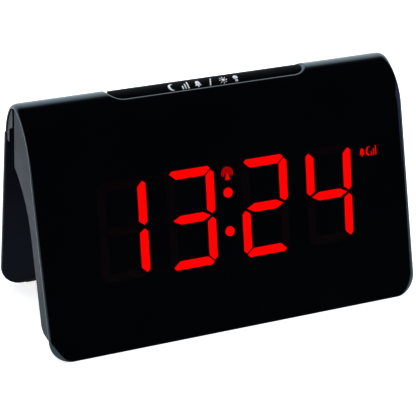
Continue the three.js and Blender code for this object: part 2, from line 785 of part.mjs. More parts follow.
for (const [name, from] of [['front', trayFront - fitGap - contactThickness],
  ['rear', trayRear + fitGap]]) {
  add(front, `cell_contact_${name}`, brass, block(
    [cellCentre[0] - contactHalf, from, cellCentre[1] - contactHalf + 1],
    [cellCentre[0] + contactHalf, from + contactThickness, cellCentre[1] + contactHalf]));
}

// Power inlet, aerial and sounder ------------------------------------------------------------------------
function inletJack() {
  const [low, high] = [jack.bottom, jack.bottom + jackSize.z];
  const centre = [jack.x, jack.depth + jackSize.y / 2];
  return block([jack.x - jackSize.x / 2, jack.depth, low],
    [jack.x + jackSize.x / 2, jack.depth + jackSize.y, high])
    .subtract(rod('z', jackBore, low - 1, high - 3, centre))
    .add(rod('z', jackPin, low + 1, high - 2, centre, 12));
}
add(clock, 'power_inlet', mattBlack, inletJack());

const aerial = {
  depth: rearWallDepth - 7.9, height: wellFloor - 4.4, radius: 4, from: -44, to: 20,
};
const aerialCentre = [aerial.depth, aerial.height];
const coil = { from: -24, to: -2, winding: 1.1 };
const clip = { width: 5, reach: 5, below: 4.8, above: 5.2 };
add(clock, 'aerial_rod', ferrite, rod('x', aerial.radius, aerial.from, aerial.to, aerialCentre));
const aerialSleeve = aerial.radius + fitGap;
add(clock, 'aerial_coil', copper,
  rod('x', aerialSleeve + coil.winding, coil.from, coil.to, aerialCentre)
    .subtract(rod('x', aerialSleeve, coil.from - 1, coil.to + 1, aerialCentre)));
for (const [side, x] of [['left', -40], ['right', 11]]) {
  const body = block([x, aerial.depth - clip.reach, aerial.height - clip.below],
    [x + clip.width, aerial.depth + clip.reach, aerial.height + clip.above]);
  add(clock, `aerial_clip_${side}`, satinBlack,
    body.subtract(rod('x', aerialSleeve, x - 1, x + clip.width + 1, aerialCentre)));
}

const sounder = { x: 36, belowFold: 2.9, radius: 6, front: 7.4, rear: 12 };
add(front, 'sounder', mattBlack, rod('y', sounder.radius, sounder.front, sounder.rear,
  [sounder.x, frontStraight - sounder.belowFold], 28));

export default clock;
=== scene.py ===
from math import acos, asin, ceil, cos, degrees, pi, radians, sin, sqrt, tan

import bmesh
import bpy
from mathutils import Matrix, Vector


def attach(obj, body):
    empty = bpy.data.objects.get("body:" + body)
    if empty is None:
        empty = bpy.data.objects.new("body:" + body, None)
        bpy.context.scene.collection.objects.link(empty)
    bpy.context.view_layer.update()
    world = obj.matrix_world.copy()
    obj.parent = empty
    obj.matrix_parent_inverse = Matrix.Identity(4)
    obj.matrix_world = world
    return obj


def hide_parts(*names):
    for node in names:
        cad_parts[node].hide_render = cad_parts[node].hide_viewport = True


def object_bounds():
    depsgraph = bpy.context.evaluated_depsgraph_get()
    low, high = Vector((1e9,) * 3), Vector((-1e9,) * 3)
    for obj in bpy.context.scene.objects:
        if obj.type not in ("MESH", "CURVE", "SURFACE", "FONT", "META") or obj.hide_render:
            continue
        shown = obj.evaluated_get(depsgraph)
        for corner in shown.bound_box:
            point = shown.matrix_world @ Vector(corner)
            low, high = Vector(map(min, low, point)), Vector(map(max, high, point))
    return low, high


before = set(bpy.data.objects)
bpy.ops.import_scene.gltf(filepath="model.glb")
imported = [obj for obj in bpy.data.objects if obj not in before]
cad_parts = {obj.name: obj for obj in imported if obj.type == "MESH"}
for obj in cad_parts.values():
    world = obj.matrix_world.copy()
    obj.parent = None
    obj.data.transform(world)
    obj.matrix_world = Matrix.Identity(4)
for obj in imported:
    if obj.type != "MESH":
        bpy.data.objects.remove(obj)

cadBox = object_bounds()

# Everything below is worked out in millimetres from the foot of the front face:
# x to the right, depth towards the rear, height up. toScene() turns it into the frame.
mm = 0.001
clock = {
    "width": 143, "tilt": 19.4, "flat": 70.9, "corner": 8, "gap": 0.3,
    "skinWall": 1.6, "sideInset": 0.4,
    # the fold over the top, as radius and heading in degrees
    "fold": [(21.4, 17), (8, -52), (20.8, -84.3)],
    "fineStep": 2,
}
clockHalf = clock["width"] / 2
tilt = radians(clock["tilt"])
underneath = clock["skinWall"] + clock["gap"]
clockDepth = (cadBox[1].y - cadBox[0].y) / mm
farAway, farFront = 100, -20     # well clear of the clock


def linear(hexColour):
    # sRGB hex to the linear colour that the shaders work in
    parts = [int(hexColour[i:i + 2], 16) / 255 for i in (0, 2, 4)]
    return tuple(c / 12.92 if c <= 0.04045 else ((c + 0.055) / 1.055) ** 2.4
                 for c in parts) + (1.0,)


# Materials: one function adds a node, with its settings and its links
def addNode(tree, kind, settings=None, links=None):
    node = tree.nodes.new(kind)
    for key, value in (settings or {}).items():
        if key in node.inputs:
            node.inputs[key].default_value = value
        else:
            setattr(node, key, value)
    for key, (source, output) in (links or {}).items():
        tree.links.new(source.outputs[output], node.inputs[key])
    return node


def newMaterial(name):
    material = bpy.data.materials.new(name)
    material.use_nodes = True
    tree = material.node_tree
    tree.nodes.clear()
    place = addNode(tree, "ShaderNodeTexCoord")
    return material, tree, (place, "Object")


def ramp(tree, source, stops):
    made = addNode(tree, "ShaderNodeValToRGB", links={"Fac": source})
    elements = made.color_ramp.elements
    elements[0].position, elements[0].color = stops[0]
    elements[1].position, elements[1].color = stops[-1]
    for position, colour in stops[1:-1]:
        elements.new(position).color = colour
    return made


def twoTone(tree, source, dark, light):
    # a slow drift between two close colours
    return ramp(tree, source, [(0.3, linear(dark)), (0.7, linear(light))])


def finishMaterial(tree, shader):
    addNode(tree, "ShaderNodeOutputMaterial", links={"Surface": (shader, 0)})


def moulded(name, look):
    # injection-moulded plastic: fine grain from the tool, slow drift in tone, faint rub marks
    material, tree, place = newMaterial(name)
    grain = addNode(tree, "ShaderNodeTexNoise", {
        "Scale": 1 / (look["grain"] * mm), "Detail": 3.0, "Roughness": 0.6},
        {"Vector": place})
    drift = addNode(tree, "ShaderNodeTexNoise", {
        "Scale": 1 / (look["drift"] * mm), "Detail": 2.0}, {"Vector": place})
    stretched = addNode(tree, "ShaderNodeMapping", {
        "Scale": (1, 0.08, 1), "Rotation": (0.3, 0.2, 0.5)}, {"Vector": place})
    rubs = addNode(tree, "ShaderNodeTexNoise", {
        "Scale": 1 / (look.get("rub", 0.9) * mm), "Detail": 4.0}, {"Vector": (stretched, 0)})
    tone = twoTone(tree, (drift, 0), look["dark"], look["light"])
    shade = ramp(tree, (grain, 0), [(0.35, (0.6, 0.6, 0.6, 1)), (0.65, (1, 1, 1, 1))])
    speck = addNode(tree, "ShaderNodeMix", {"data_type": "RGBA", "blend_type": "MULTIPLY"},
                    {6: (tone, 0), 7: (shade, 0)})
    speck.inputs[0].default_value = look.get("speck", 0.35)
    gloss = addNode(tree, "ShaderNodeMapRange", {
        "From Min": 0.3, "From Max": 0.75,
        "To Min": look["rough"] - look["roughSwing"],
        "To Max": look["rough"] + look["roughSwing"]}, {"Value": (rubs, 0)})
    bump = addNode(tree, "ShaderNodeBump", {
        "Strength": look["bump"], "Distance": look["grain"] * mm * 0.3}, {"Height": (grain, 0)})
    shader = addNode(tree, "ShaderNodeBsdfPrincipled", {
        "IOR": look.get("ior", 1.5),
        "Specular IOR Level": look.get("specular", 0.5),
        "Specular Tint": linear(look.get("shine", "ffffff"))},
        {"Base Color": (speck, 2), "Roughness": (gloss, 0), "Normal": (bump, 0)})
    finishMaterial(tree, shader)
    return material


def metal(name, look):
    # plated or drawn metal: fine parallel marks, slightly uneven tone
    material, tree, place = newMaterial(name)
    stretched = addNode(tree, "ShaderNodeMapping", {"Scale": look["marks"]}, {"Vector": place})
    lines = addNode(tree, "ShaderNodeTexNoise", {
        "Scale": 1 / (look["grain"] * mm), "Detail": 3.0}, {"Vector": (stretched, 0)})
    drift = addNode(tree, "ShaderNodeTexNoise", {"Scale": 1 / (3 * mm)}, {"Vector": place})
    tone = twoTone(tree, (drift, 0), look["dark"], look["light"])
    gloss = addNode(tree, "ShaderNodeMapRange", {
        "To Min": look["rough"] - 0.08, "To Max": look["rough"] + 0.1}, {"Value": (lines, 0)})
    bump = addNode(tree, "ShaderNodeBump", {
        "Strength": 0.3, "Distance": look["grain"] * mm * 0.2}, {"Height": (lines, 0)})
    shader = addNode(tree, "ShaderNodeBsdfPrincipled", {"Metallic": 1.0},
                     {"Base Color": (tone, 0), "Roughness": (gloss, 0), "Normal": (bump, 0)})
    finishMaterial(tree, shader)
    return material


plastics = {
    # high-gloss black ABS: mirror-like, with a faint orange peel
    "glossBlackAbs": {"dark": "020204", "light": "040407", "rough": 0.07, "roughSwing": 0.025,
                      "grain": 1.6, "drift": 25, "bump": 0.012, "speck": 0.1, "rub": 6,
                      "shine": "c9e8f5"},
    # satin slate-black ABS with a spark-eroded grain, drawn twice as coarse as it is
    "sparkErodedAbs": {"dark": "161f28", "light": "1c2631", "rough": 0.34, "roughSwing": 0.06,
                       "grain": 0.5, "drift": 18, "bump": 0.12, "specular": 0.02,
                       "shine": "b4d4ee"},
    # satin black ABS of the leg, finer grain
    "satinBlackAbs": {"dark": "0c0f15", "light": "11141c", "rough": 0.3, "roughSwing": 0.05,
                      "grain": 0.45, "drift": 20, "bump": 0.08, "specular": 0.04,
                      "shine": "b9cdf4"},
    # matt black soft-touch keytop, worn a little smoother where fingers press
    "mattKeytopAbs": {"dark": "020203", "light": "050506", "rough": 0.55, "roughSwing": 0.08,
                      "grain": 0.35, "drift": 9, "bump": 0.12, "specular": 0.035},
    # matt black rubber pads with a dusty bloom
    "mouldedRubber": {"dark": "0d0d0e", "light": "1c1c1d", "rough": 0.85, "roughSwing": 0.08,
                      "grain": 0.3, "drift": 2.5, "bump": 0.4, "specular": 0.25},
    # natural black nylon for inner clips and switch bodies
    "mouldedNylon": {"dark": "101113", "light": "191b1d", "rough": 0.5, "roughSwing": 0.1,
                     "grain": 0.4, "drift": 6, "bump": 0.2},
    # white polystyrene light box
    "whitePolystyrene": {"dark": "d2d2cc", "light": "e4e4df", "rough": 0.5, "roughSwing": 0.1,
                         "grain": 0.6, "drift": 12, "bump": 0.1, "speck": 0.1},
    # tinted red acrylic light guides
    "castRedAcrylic": {"dark": "8a0c08", "light": "b01810", "rough": 0.2, "roughSwing": 0.06,
                       "grain": 0.8, "drift": 5, "bump": 0.05, "ior": 1.49},
    # black epoxy of the chip, faintly speckled with silica
    "mouldedEpoxy": {"dark": "131314", "light": "1d1d1f", "rough": 0.6, "roughSwing": 0.08,
                     "grain": 0.2, "drift": 3, "bump": 0.3, "speck": 0.6},
    # sintered ferrite: charcoal, dry and granular
    "sinteredFerrite": {"dark": "232224", "light": "343235", "rough": 0.7, "roughSwing": 0.1,
                        "grain": 0.35, "drift": 4, "bump": 0.5, "speck": 0.6},
    # the dark window over segments that aren't lit: barely red
    "unlitSegmentInk": {"dark": "090203", "light": "0c0204", "rough": 0.12, "roughSwing": 0.03,
                        "grain": 0.8, "drift": 6, "bump": 0.02, "speck": 0.1},
    # white screen-printed ink, slightly broken up by the grain under it
    "screenPrintedInk": {"dark": "c8c9cb", "light": "f0f1f2", "rough": 0.5, "roughSwing": 0.1,
                         "grain": 0.3, "drift": 1.2, "bump": 0.2, "speck": 0.25},
}
metals = {
    # zinc-plated steel screws, turned heads
    "zincPlatedSteel": {"dark": "8b8f93", "light": "b0b3b6", "rough": 0.32, "grain": 0.3,
                        "marks": (1, 0.2, 1)},
    # bright nickel-plated steel of the cell and cans, brushed along x
    "brushedNickelSteel": {"dark": "a6a7a6", "light": "c4c4c1", "rough": 0.24, "grain": 0.25,
                           "marks": (0.1, 1, 1)},
    # stamped brass contacts
    "stampedBrass": {"dark": "a88a44", "light": "c9aa60", "rough": 0.3, "grain": 0.3,
                     "marks": (1, 1, 0.1)},
}
made = {name: moulded(name, look) for name, look in plastics.items()}
made.update({name: metal(name, look) for name, look in metals.items()})


def woundCopper():
    # enamelled copper wire, 0.3 mm a turn in the real coil and drawn at 0.6 mm: warm, ribbed
    material, tree, place = newMaterial("woundCopper")
    turns = addNode(tree, "ShaderNodeTexWave", {
        "wave_type": "BANDS", "bands_direction": "X",
        "Scale": 0.314 / (0.6 * mm),   # this texture makes a band every 0.314 / Scale
        "Distortion": 0.4, "Detail": 1.0}, {"Vector": place})
    # the colour follows the bands and is darker where they dip between the turns: painted shade in
    # the creases
    tone = ramp(tree, (turns, 0), [(0.1, linear("5a2a12")), (0.6, linear("b8713e"))])
    bump = addNode(tree, "ShaderNodeBump", {
        "Strength": 0.8, "Distance": 0.15 * mm}, {"Height": (turns, 0)})
    gloss = addNode(tree, "ShaderNodeMapRange", {"To Min": 0.5, "To Max": 0.28},
                    {"Value": (turns, 0)})
    shader = addNode(tree, "ShaderNodeBsdfPrincipled", {"Metallic": 1.0},
                     {"Base Color": (tone, 0), "Normal": (bump, 0), "Roughness": (gloss, 0)})
    finishMaterial(tree, shader)
    return material


def solderMask():
    # green solder mask over copper tracks on a 1.3 mm grid, with tinned pads
    material, tree, place = newMaterial("solderMask")
    tracks = addNode(tree, "ShaderNodeTexBrick", {
        "Scale": 1 / (5 * mm), "Mortar Size": 0.04, "Color1": linear("174526"),
        "Color2": linear("1d5430"), "Mortar": linear("2f7a46")}, {"Vector": place})
    pads = addNode(tree, "ShaderNodeTexVoronoi", {"Scale": 1 / (2.6 * mm), "Randomness": 0.3},
                   {"Vector": place})
    onPad = addNode(tree, "ShaderNodeMath", {"operation": "LESS_THAN"}, {0: (pads, 0)})
    onPad.inputs[1].default_value = 0.16
    tone = addNode(tree, "ShaderNodeMix", {"data_type": "RGBA"}, {0: (onPad, 0), 6: (tracks, 0)})
    tone.inputs[7].default_value = linear("b9bcb8")
    gloss = addNode(tree, "ShaderNodeMapRange", {"To Min": 0.45, "To Max": 0.25},
                    {"Value": (onPad, 0)})
    bump = addNode(tree, "ShaderNodeBump", {
        "Strength": 0.4, "Distance": 0.05 * mm}, {"Height": (tracks, 1)})
    shader = addNode(tree, "ShaderNodeBsdfPrincipled", {},
                     {"Base Color": (tone, 2), "Metallic": (onPad, 0),
                      "Roughness": (gloss, 0), "Normal": (bump, 0)})
    finishMaterial(tree, shader)
    return material


def litSegment(name, strength, dark, light):
    # red light through the window: even, with a slow ripple from the lamps behind
    material, tree, place = newMaterial(name)
    lamps = addNode(tree, "ShaderNodeTexNoise", {"Scale": 1 / (4 * mm), "Detail": 1.0},
                    {"Vector": place})
    glow = twoTone(tree, (lamps, 0), dark, light)
    shader = addNode(tree, "ShaderNodeBsdfPrincipled", {
        "Base Color": linear("1a0000"), "Roughness": 0.15, "Specular IOR Level": 0.2,
        "Emission Strength": strength},
        {"Emission Color": (glow, 0)})
    finishMaterial(tree, shader)
    return material


made["woundCopper"] = woundCopper()
made["solderMask"] = solderMask()
made["litSegment"] = litSegment("litSegment", 1.15, "fa0000", "ff0000")
made["litIcon"] = litSegment("litIcon", 0.9, "f80000", "ff0000")
print("materials made:", len(made))


# Shapes: closed solids in millimetres, joined and cut by exact booleans
def solid(points, faces):
    mesh = bpy.data.meshes.new("work")
    mesh.from_pydata([tuple(p) for p in points], [], faces)
    mesh.validate()
    shaper = bmesh.new()
    shaper.from_mesh(mesh)
    bmesh.ops.recalc_face_normals(shaper, faces=shaper.faces)
    shaper.to_mesh(mesh)
    shaper.free()
    piece = bpy.data.objects.new("work", mesh)
    bpy.context.scene.collection.objects.link(piece)
    return piece


def drawn(outline, axis, low, high):
    # an outline drawn out along an axis: "x" takes (depth, height), "y" (x, height), "z" (x, depth)
    order = {"x": lambda a, b, c: (c, a, b), "y": lambda a, b, c: (a, c, b),
             "z": lambda a, b, c: (a, b, c)}[axis]
    count = len(outline)
    points = [order(*p, low) for p in outline] + [order(*p, high) for p in outline]
    sides = [(i, (i + 1) % count, (i + 1) % count + count, i + count) for i in range(count)]
    return solid(points, sides + [tuple(range(count)), tuple(range(count, 2 * count))])


def block(low, high):
    return drawn([(low[0], low[1]), (high[0], low[1]), (high[0], high[1]), (low[0], high[1])],
                 "z", low[2], high[2])


def ring(radius, centre=(0, 0), steps=32):
    return [(centre[0] + radius * cos(2 * pi * i / steps),
             centre[1] + radius * sin(2 * pi * i / steps)) for i in range(steps)]


def roundedBox(left, low, right, high, radius, steps=8):
    corners = [(right - radius, low + radius, -90), (right - radius, high - radius, 0),
               (left + radius, high - radius, 90), (left + radius, low + radius, 180)]
    return [(x + radius * cos(radians(start + 90 * i / steps)),
             z + radius * sin(radians(start + 90 * i / steps)))
            for x, z, start in corners for i in range(steps + 1)]


def settle(piece):
    # the piece's modifiers become its mesh
    bpy.context.view_layer.update()
    depsgraph = bpy.context.evaluated_depsgraph_get()
    mesh = bpy.data.meshes.new_from_object(piece.evaluated_get(depsgraph))
    old = piece.data
    piece.modifiers.clear()
    piece.data = mesh
    bpy.data.meshes.remove(old)
    return piece


def combine(piece, how, *others):
    for other in others:
        step = piece.modifiers.new("combine", "BOOLEAN")
        step.operation, step.solver, step.object = how, "EXACT", other
        settle(piece)
        bpy.data.objects.remove(other)
    return piece


def softened(piece, width, segments=3, limit=35):
    step = piece.modifiers.new("edges", "BEVEL")
    step.width, step.segments = width, segments
    step.limit_method, step.angle_limit = "ANGLE", radians(limit)
    return settle(piece)


def gathered(shapes):
    # separate solids, kept side by side in one mesh
    shaper = bmesh.new()
    for shape in shapes:
        shaper.from_mesh(shape.data)
    shaper.to_mesh(shapes[0].data)
    shaper.free()
    for shape in shapes[1:]:
        bpy.data.objects.remove(shape)
    return shapes[0]


def leaned(piece):
    # from the front face's own frame (x, behind, up) into the clock's
    piece.data.transform(Matrix.Rotation(-tilt, 4, "X"))
    return piece


weldReach = 0.002 * mm     # points closer than this are one point


def toScene(piece, name, finish, body, nodes=(), smooth=32):
    mesh = piece.data
    mesh.transform(Matrix.Scale(mm, 4) @ Matrix.Translation((0, -clockDepth / 2, 0)))
    shaper = bmesh.new()
    shaper.from_mesh(mesh)
    bmesh.ops.remove_doubles(shaper, verts=shaper.verts, dist=weldReach)
    bmesh.ops.dissolve_degenerate(shaper, edges=shaper.edges, dist=weldReach / 2)
    bmesh.ops.recalc_face_normals(shaper, faces=shaper.faces)
    shaper.to_mesh(mesh)
    shaper.free()
    mesh.shade_smooth()
    mesh.set_sharp_from_angle(angle=radians(smooth))
    mesh.materials.clear()
    mesh.materials.append(made[finish])
    piece.name = mesh.name = name
    weigh = piece.modifiers.new("shading", "WEIGHTED_NORMAL")
    weigh.keep_sharp = True
    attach(piece, body)
    if nodes:
        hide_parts(*nodes)
    return piece


# The side profile, shared by the skin, the housing, the leg and the bar
def skinLine(step, flatStops=(0,)):
    # stations along the skin's outer line: distance, place and heading
    heading = radians(90 - clock["tilt"])
    stations = [(s, Vector((s * cos(heading), s * sin(heading))), heading) for s in flatStops]
    travelled = clock["flat"]
    place = Vector((cos(heading), sin(heading))) * travelled
    stations.append((travelled, place, heading))
    for radius, endDegrees in clock["fold"]:
        end = radians(endDegrees)
        centre = place + radius * Vector((sin(heading), -cos(heading)))
        count = ceil(degrees(heading - end) / step)
        for i in range(1, count + 1):
            angle = heading + (end - heading) * i / count
            place = centre + radius * Vector((-sin(angle), cos(angle)))
            stations.append((travelled + radius * (heading - angle), place, angle))
        travelled += radius * (heading - end)
        heading = end
    return stations


def insetPlace(station, inset):
    s, place, heading = station
    return place + inset * Vector((sin(heading), -cos(heading)))


fineLine = skinLine(clock["fineStep"])
foldEnd = fineLine[-1][1]
foldEndHeading = fineLine[-1][2]


def skinHeight(depth, inset=0):
    # height of the skin's line over a depth
    line = [insetPlace(station, inset) for station in fineLine]
    for a, b in zip(line, line[1:]):
        if a.x <= depth <= b.x:
            return a.y + (b.y - a.y) * (depth - a.x) / (b.x - a.x)
    return line[-1].y


def underSkin(inset, low, high):
    line = [tuple(insetPlace(station, inset)) for station in fineLine]
    start = inset / cos(tilt)
    return drawn([(start, 0)] + line[1:] + [(line[-1][0], 0)], "x", low, high)


def frontPlace(up, behind):
    return Vector((up * sin(tilt) + behind * cos(tilt), up * cos(tilt) - behind * sin(tilt)))


skin = {
    "edgeRound": 2.6,        # width of the rolled edge round the front face
    "edgeDepth": 1.15,       # how far it rolls back
    "innerRound": 0.3,       # and the small round on the inner face
    "innerBend": 0.3,        # where that round's middle point lies, as a share of it
    "bottomShare": 0.12,     # the roll's width along the bottom, as a share of edgeRound
    "tailRound": 0.35,       # the roll at the rear end of the fold
    "rollSteps": 8, "cornerSteps": 14, "flatRows": 9,
    "barSlot": {"half": 37.3, "round": 4.8, "middle": 41.2, "lip": 1.6, "low": 60},
    "bossRadius": 2.2, "bossStart": 0.8, "bossEnd": 5, "pilot": 1.1, "pilotStart": 2.2,
}
caseScrews = {"bottom_left": (-66.6, 15), "bottom_right": (66.6, 15),
              "top_left": (-66.6, 35), "top_right": (66.6, 35)}


def edgeRoll(width, depth, steps):
    # an elliptical roll from the face to the rim: distance from the outline, and depth
    return [(width * (1 - sin(pi / 2 * i / steps)), depth * (1 - cos(pi / 2 * i / steps)))
            for i in range(steps + 1)]


def skinShell():
    # a sheet wrapped along the fold: rings round its outline, and ladders across its two faces
    corner = clock["corner"]
    wall, inner = clock["skinWall"], skin["innerRound"]
    end = fineLine[-1][0]
    bend, cornerSteps, flatRows = inner * skin["innerBend"], skin["cornerSteps"], skin["flatRows"]
    rings = edgeRoll(skin["edgeRound"], skin["edgeDepth"], skin["rollSteps"])
    rings += [(0, wall - inner), (bend, wall - bend), (inner, wall)]
    rows = [s for s, _, _ in skinLine(clock["fineStep"], [
        corner + (clock["flat"] - corner) * i / flatRows for i in range(flatRows + 1)])]
    line = skinLine(1)

    def place(x, s, depth):
        for a, b in zip(line, line[1:]):
            if s <= b[0] + 1e-9:
                share = (s - a[0]) / (b[0] - a[0])
                heading = a[2] + (b[2] - a[2]) * share
                if a[2] == b[2]:
                    base = a[1] + (b[1] - a[1]) * share
                else:
                    radius = (b[0] - a[0]) / (a[2] - b[2])
                    centre = a[1] + radius * Vector((sin(a[2]), -cos(a[2])))
                    base = centre + radius * Vector((-sin(heading), cos(heading)))
                spot = base + depth * Vector((sin(heading), -cos(heading)))
                return (x, spot.x, max(spot.y, 0))
        return place(x, line[-1][0], depth)

    points, loops = [], []
    for offset, depth in rings:
        # the roll is wide down the sides and thin along the bottom
        reach, drop = corner - offset, corner - offset * skin["bottomShare"]
        side = [(clockHalf - corner + reach * sin(pi / 2 * i / cornerSteps),
                 corner - drop * cos(pi / 2 * i / cornerSteps))
                for i in range(cornerSteps + 1)]
        tail = min(offset, skin["tailRound"])
        side += [(clockHalf - offset, min(s, end - tail)) for s in rows[1:-1]]
        side += [(clockHalf - offset, end - tail)]
        loop = [(x, s) for x, s in side] + [(-x, s) for x, s in reversed(side)]
        loops.append([len(points) + i for i in range(len(loop))])
        points += [place(x, s, depth) for x, s in loop]
    faces = []
    for a, b in zip(loops, loops[1:]):
        for i in range(len(a)):
            j = (i + 1) % len(a)
            faces.append((a[i], a[j], b[j], b[i]))
    for loop in (loops[0], loops[-1]):
        half = len(loop) // 2
        for i in range(half - 1):
            faces.append((loop[i], loop[i + 1], loop[-2 - i], loop[-1 - i]))
    return solid(points, faces)


def slotCutter(shape):
    # a pill-shaped cutter whose rim flares out, so the lip of the slot is rolled over
    lip, count = shape["lip"], 28
    rings = [(0, None)]
    for turn in (0, 15, 30, 45, 60, 72, 82):
        rings.append((lip * (1 - cos(radians(turn))), -lip * (1 - sin(radians(turn)))))
    rings += [(lip, 0.05), (lip, farAway)]
    points, loops = [], []
    for grow, lift in rings:
        radius = shape["round"] + grow
        straight = shape["half"] - shape["round"]
        loop = []
        for side in (1, -1):
            for i in range(count + 1):
                angle = -pi / 2 + pi * i / count
                x = side * (straight + radius * cos(angle))
                y = shape["middle"] + side * radius * sin(angle)
                if lift is None:
                    z = shape["low"]
                elif lift == farAway:
                    z = farAway
                else:
                    z = skinHeight(y) + lift
                loop.append((x, y, z))
        loops.append([len(points) + i for i in range(len(loop))])
        points += loop
    faces = [tuple(loops[0]), tuple(loops[-1])]
    for a, b in zip(loops, loops[1:]):
        faces += [(a[i], a[(i + 1) % len(a)], b[(i + 1) % len(a)], b[i]) for i in range(len(a))]
    return solid(points, faces)


def makeSkin():
    shell = skinShell()
    combine(shell, "DIFFERENCE", slotCutter(skin["barSlot"]))
    for x, up in caseScrews.values():
        boss = drawn(ring(skin["bossRadius"], (x, up)), "y", skin["bossStart"], skin["bossEnd"])
        pilot = drawn(ring(skin["pilot"], (x, up)), "y", skin["pilotStart"],
                      skin["bossEnd"] + 1)
        combine(shell, "UNION", leaned(boss))
        combine(shell, "DIFFERENCE", leaned(pilot))
    return toScene(shell, "folded_skin", "glossBlackAbs", "case",
                   ["front_skin"], smooth=28)


makeSkin()
print("skin made")


# The housing behind the front face
housing = {
    "half": clockHalf - clock["sideInset"], "depth": 9.2, "bottom": 7, "bevel": 1.6,
    "wall": 1.6, "side": 1.8, "flareStart": 43, "flareRadius": 33, "rearWall": 40.9,
    "edge": 0.9, "wellHalf": 44, "wellFloor": 67.4, "wellRear": 47.2,
}
setting = {
    "names": ["mode", "alarm_one", "alarm_two", "minus", "plus"], "start": -8, "pitch": 12,
    "up": 17, "width": 7.5, "height": 4.2, "corner": 1.2, "proud": 0.9, "flange": 0.8,
    "flangeDepth": 0.7,
}
slider = {"x": -48, "width": 4, "height": 3, "travel": 4}
tray = {"length": 24.3, "height": 22.4, "thickness": 4, "low": 58.8, "front": 7.2,
        "cell": 10, "lip": 0.4, "shelf": 1.5, "edge": 0.3, "grip": 1, "gripHalf": 4}
jack = {"x": -52, "depth": 31, "bottom": 57, "width": 9, "across": 7.5, "tall": 12,
        "bore": 3.1, "pin": 1, "back": 3, "edge": 0.4, "pinEdge": 0.3}
legScrews = [(-66, 72.6), (-50, 72.6), (50, 72.6), (66, 72.6)]
screwHole, screwSeat, screwCup = 1.1, 2.3, 3     # radii round a screw
wallFront = housing["depth"] - housing["wall"]
headSeat = housing["depth"] - 2
flangeRear = wallFront - clock["gap"]
flangeFront = flangeRear - setting["flangeDepth"]
capRear = housing["depth"] + setting["proud"]


def rearLine(inset):
    # the housing's rear line, up from its floor to the upright wall
    floor = housing["bottom"] + inset

    def rearAt(height):
        return (housing["depth"] - inset) / cos(tilt) + height * tan(tilt)

    heading = radians(90) - tilt
    radius = housing["flareRadius"]
    start = frontPlace(housing["flareStart"], housing["depth"])
    centre = start + radius * Vector((sin(heading), -cos(heading)))
    wall = housing["rearWall"] - inset
    end = asin((centre.x - wall) / (radius + inset))
    count = ceil(degrees(heading - end) / clock["fineStep"])
    points = [Vector((rearAt(floor) - housing["bevel"], floor)),
              Vector((rearAt(floor + housing["bevel"]), floor + housing["bevel"])),
              frontPlace(housing["flareStart"], housing["depth"] - inset)]
    for i in range(1, count + 1):
        angle = heading + (end - heading) * i / count
        points.append(centre + (radius + inset) * Vector((-sin(angle), cos(angle))))
    points.append(Vector((wall, farAway)))
    return points


def beforeRear(inset, low, high):
    line = rearLine(inset)
    return drawn([(farFront, line[0].y)] + [tuple(p) for p in line] + [(farFront, farAway)],
                 "x", low, high)


def settingX(index):
    return setting["start"] + index * setting["pitch"]


def capOutline(x, width, height, grow):
    up = setting["up"]
    return roundedBox(x - width / 2 - grow, up - height / 2 - grow,
                      x + width / 2 + grow, up + height / 2 + grow, setting["corner"], 5)


def makeHousing():
    half, side, wall, gap = housing["half"], housing["side"], housing["wall"], clock["gap"]
    shell = beforeRear(0, -half, half)
    well = block((-housing["wellHalf"], housing["rearWall"] - wall, housing["wellFloor"]),
                 (housing["wellHalf"], farAway, farAway))
    combine(shell, "UNION", well)
    combine(shell, "INTERSECT", underSkin(underneath, -half, half))
    softened(shell, housing["edge"], 4)
    cavity = beforeRear(wall, side - half, half - side)
    combine(shell, "DIFFERENCE", cavity)
    inner = housing["wellHalf"] - wall
    combine(shell, "DIFFERENCE", block(
        (-inner, housing["rearWall"] - 2 * wall, housing["wellFloor"] + wall),
        (inner, housing["wellRear"], farAway)))
    for x, up in caseScrews.values():
        cup = drawn(ring(screwCup, (x, up)), "y", skin["bossEnd"] + gap,
                    housing["depth"] - gap)
        hole = drawn(ring(screwHole, (x, up)), "y", 0, housing["depth"] + 1)
        seat = drawn(ring(screwSeat, (x, up)), "y", headSeat, housing["depth"] + 1)
        combine(shell, "UNION", leaned(cup))
        combine(shell, "DIFFERENCE", leaned(hole), leaned(seat))
    for index in range(len(setting["names"])):
        hole = capOutline(settingX(index), setting["width"], setting["height"], gap)
        combine(shell, "DIFFERENCE",
                leaned(drawn(hole, "y", wallFront - 1, housing["depth"] + 1)))
    slot = capOutline(slider["x"] + slider["travel"] / 2, slider["width"] + slider["travel"],
                      slider["height"], gap)
    drawer = block((half - side - 1, tray["front"] - gap, tray["low"] - gap),
                   (half + 1, tray["front"] + tray["thickness"] + gap,
                    tray["low"] + tray["height"] + gap))
    inlet = block((jack["x"] - jack["width"] / 2 - gap, jack["depth"] - gap,
                   jack["bottom"] - jack["tall"]),
                  (jack["x"] + jack["width"] / 2 + gap, jack["depth"] + jack["across"] + gap,
                   jack["bottom"] + wall))
    combine(shell, "DIFFERENCE",
            leaned(drawn(slot, "y", wallFront - 1, housing["depth"] + 1)),
            leaned(drawer), inlet)
    for x, height in legScrews:
        combine(shell, "DIFFERENCE", drawn(
            ring(screwHole, (x, height)), "y", housing["rearWall"] - 2 * wall,
            housing["rearWall"] + 1))
    return toScene(shell, "deep_housing", "sparkErodedAbs", "case",
                   ["rear_housing"])


makeHousing()
print("housing made")


# The rear leg and its two pads
leg = {"splay": 5.7, "thickness": 2.2, "step": 0.5, "top": 66, "lift": 0.3, "edge": 0.6,
       "rootFront": 42.9, "rootInner": 46, "rootUnder": 71, "rootEdge": 0.4,
       "screwReach": 3.5, "cornerSteps": 14}
foot = {"x": 12, "y": 1.6, "z": 1.5, "offset": 56, "edge": 0.25, "grooveAt": 2,
        "grooveHalf": 0.25, "grooveDeep": 0.3}


def legFace(height, inset):
    splay = radians(leg["splay"])
    return foldEnd.x + (foldEnd.y - height) * tan(splay) + (leg["step"] - inset) / cos(splay)


